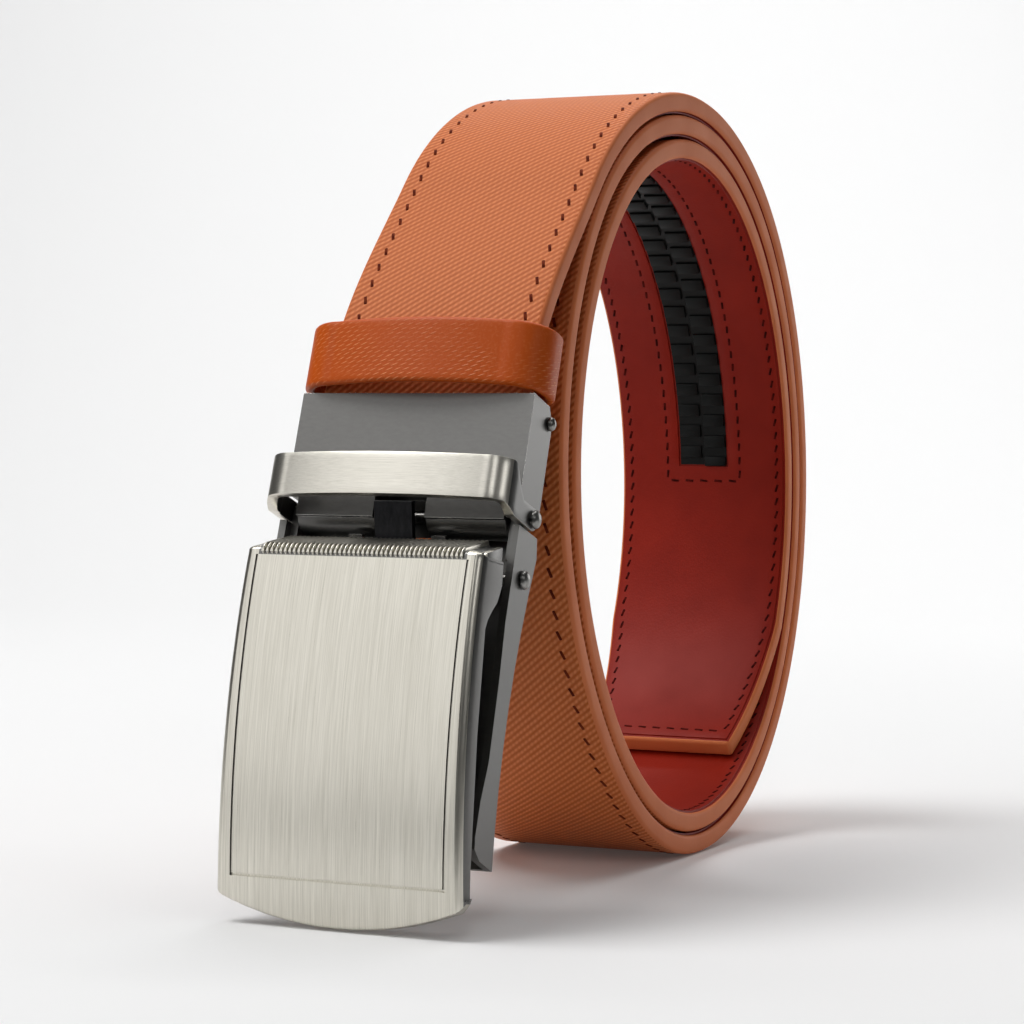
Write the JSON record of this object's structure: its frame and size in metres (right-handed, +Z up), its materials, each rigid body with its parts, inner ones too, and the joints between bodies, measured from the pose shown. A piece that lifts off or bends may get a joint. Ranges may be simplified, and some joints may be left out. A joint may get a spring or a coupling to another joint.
{
  "type": "ratchet belt",
  "caption": "Leather strap belt rolled into a coil, with a leather keeper and a brushed metal ratchet buckle whose face plate is the release lever.",
  "frame": {"origin": "centre of the bounding box in X and Y, on the surface that the belt stands on", "axes": "+X across the strap's width, the coil's axis; +Y from the buckle to the coil's far side; +Z up"},
  "size_m": [0.044, 0.1716, 0.1362],
  "materials": {
    "strap_leather": "tan leather embossed with a fine diagonal twill",
    "lining_leather": "smooth red-brown lining leather with a light gloss",
    "track_plastic": "moulded black plastic",
    "keeper_leather": "smooth orange-tan leather",
    "brushed_metal": "brushed, clear-coated alloy",
    "satin_metal": "satin plated zinc alloy",
    "dark_metal": "dark plated steel"
  },
  "bodies": {
    "belt": {"strap_face": "strap_leather", "strap_lining": "lining_leather", "ratchet_track": "track_plastic", "leather_keeper": "keeper_leather", "clamp_body": "satin_metal", "clamp_jaw": "satin_metal", "jaw_pin": "satin_metal", "hinge_pin": "satin_metal", "metal_loop": "brushed_metal"},
    "frame": {"buckle_frame": "satin_metal", "pawl_pin": "satin_metal", "lever_pin": "satin_metal"},
    "plate": {"face_plate": "brushed_metal"},
    "catch": {"pawl": "dark_metal"}
  },
  "joints": [
    {"name": "frame_hinge", "type": "hinge", "parent": "belt", "child": "frame", "pos_m": [0, -0.06279, 0.06081], "axis": [1, 0, 0], "range_deg": [0, 35]},
    {"name": "plate_hinge", "type": "hinge", "parent": "frame", "child": "plate", "pos_m": [0, -0.07953, 0.01525], "axis": [1, 0, 0], "range_deg": [0, 25], "stiffness_Nm_per_rad": 0.05, "springref_deg": -11.46},
    {"name": "pawl_pivot", "type": "hinge", "parent": "frame", "child": "catch", "pos_m": [0, -0.06548, 0.05169], "axis": [1, 0, 0], "range_deg": [-5, 0], "stiffness_Nm_per_rad": 0.02, "springref_deg": 11.46}
  ]
}
